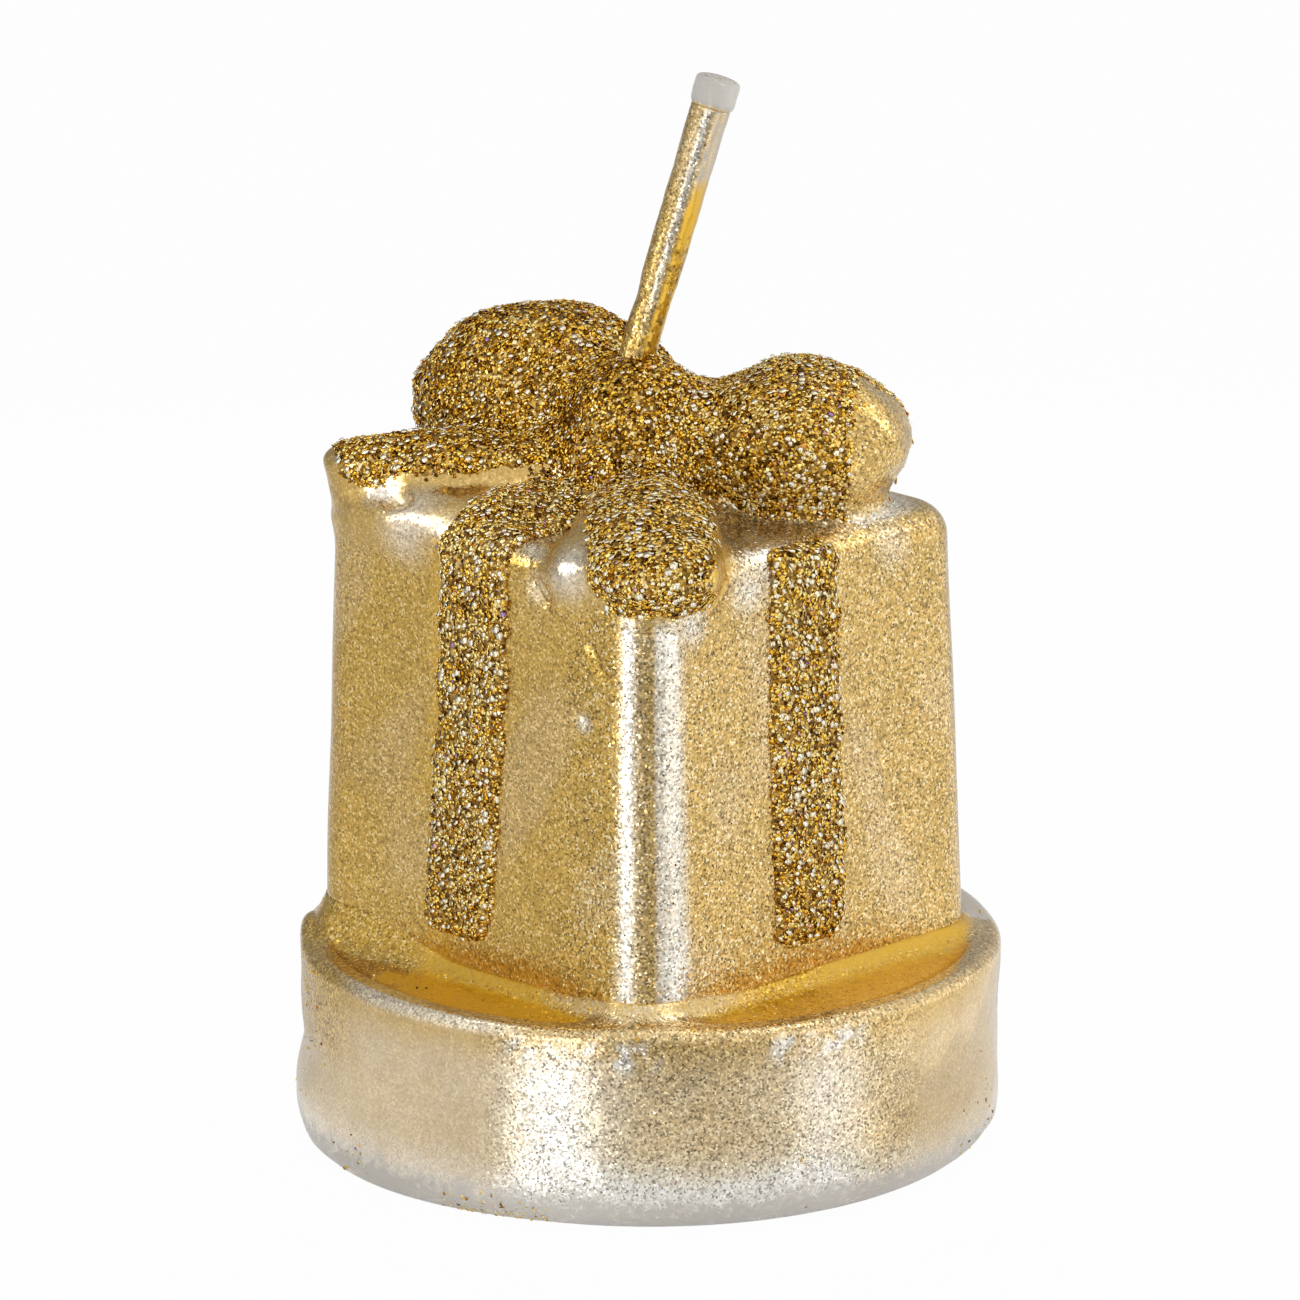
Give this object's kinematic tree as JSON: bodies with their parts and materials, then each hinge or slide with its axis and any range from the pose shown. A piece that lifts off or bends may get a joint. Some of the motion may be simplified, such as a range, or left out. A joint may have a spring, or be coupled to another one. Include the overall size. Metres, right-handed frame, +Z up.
{
  "type": "mini birthday candle",
  "caption": "Small gilded wax candle shaped as a gift box with glitter ribbons and a bow, on a round foot, with a short bendable waxed wick.",
  "frame": {"origin": "centre of the round foot on the plane it stands on", "axes": "+Z up, -Y towards the box's front upright edge, +X to that edge's right as seen from the front"},
  "size_m": [0.038, 0.038, 0.0581],
  "materials": {
    "lacquered_wax": "gold pearl lacquer on wax, satin with fine metallic grain",
    "glittered_wax": "loose gold glitter bonded on wax",
    "bare_wax": "translucent white wax, satin",
    "cotton_braid": "braided cotton",
    "tinned_steel": "bright tinned steel"
  },
  "bodies": {
    "candle": {"foot": "lacquered_wax", "gift_box": "lacquered_wax", "bow_knot": "glittered_wax", "bow_loop_left": "glittered_wax", "bow_loop_right": "glittered_wax", "bow_tail_front": "glittered_wax", "bow_tail_left": "glittered_wax", "ribbon_front_left": "glittered_wax", "ribbon_front_right": "glittered_wax", "ribbon_back_right": "glittered_wax", "ribbon_back_left": "glittered_wax", "wick_sustainer": "tinned_steel", "wick_cord_buried": "cotton_braid"},
    "wick": {"wick_cord_free": "cotton_braid", "wick_wax_coat": "lacquered_wax", "wick_tip": "bare_wax"}
  },
  "joints": [
    {"name": "wick_bend", "type": "hinge", "parent": "candle", "child": "wick", "pos_m": [-0.0006, -0.0005, 0.0432], "axis": [0, 1, 0], "range_deg": [-28, 22]}
  ]
}
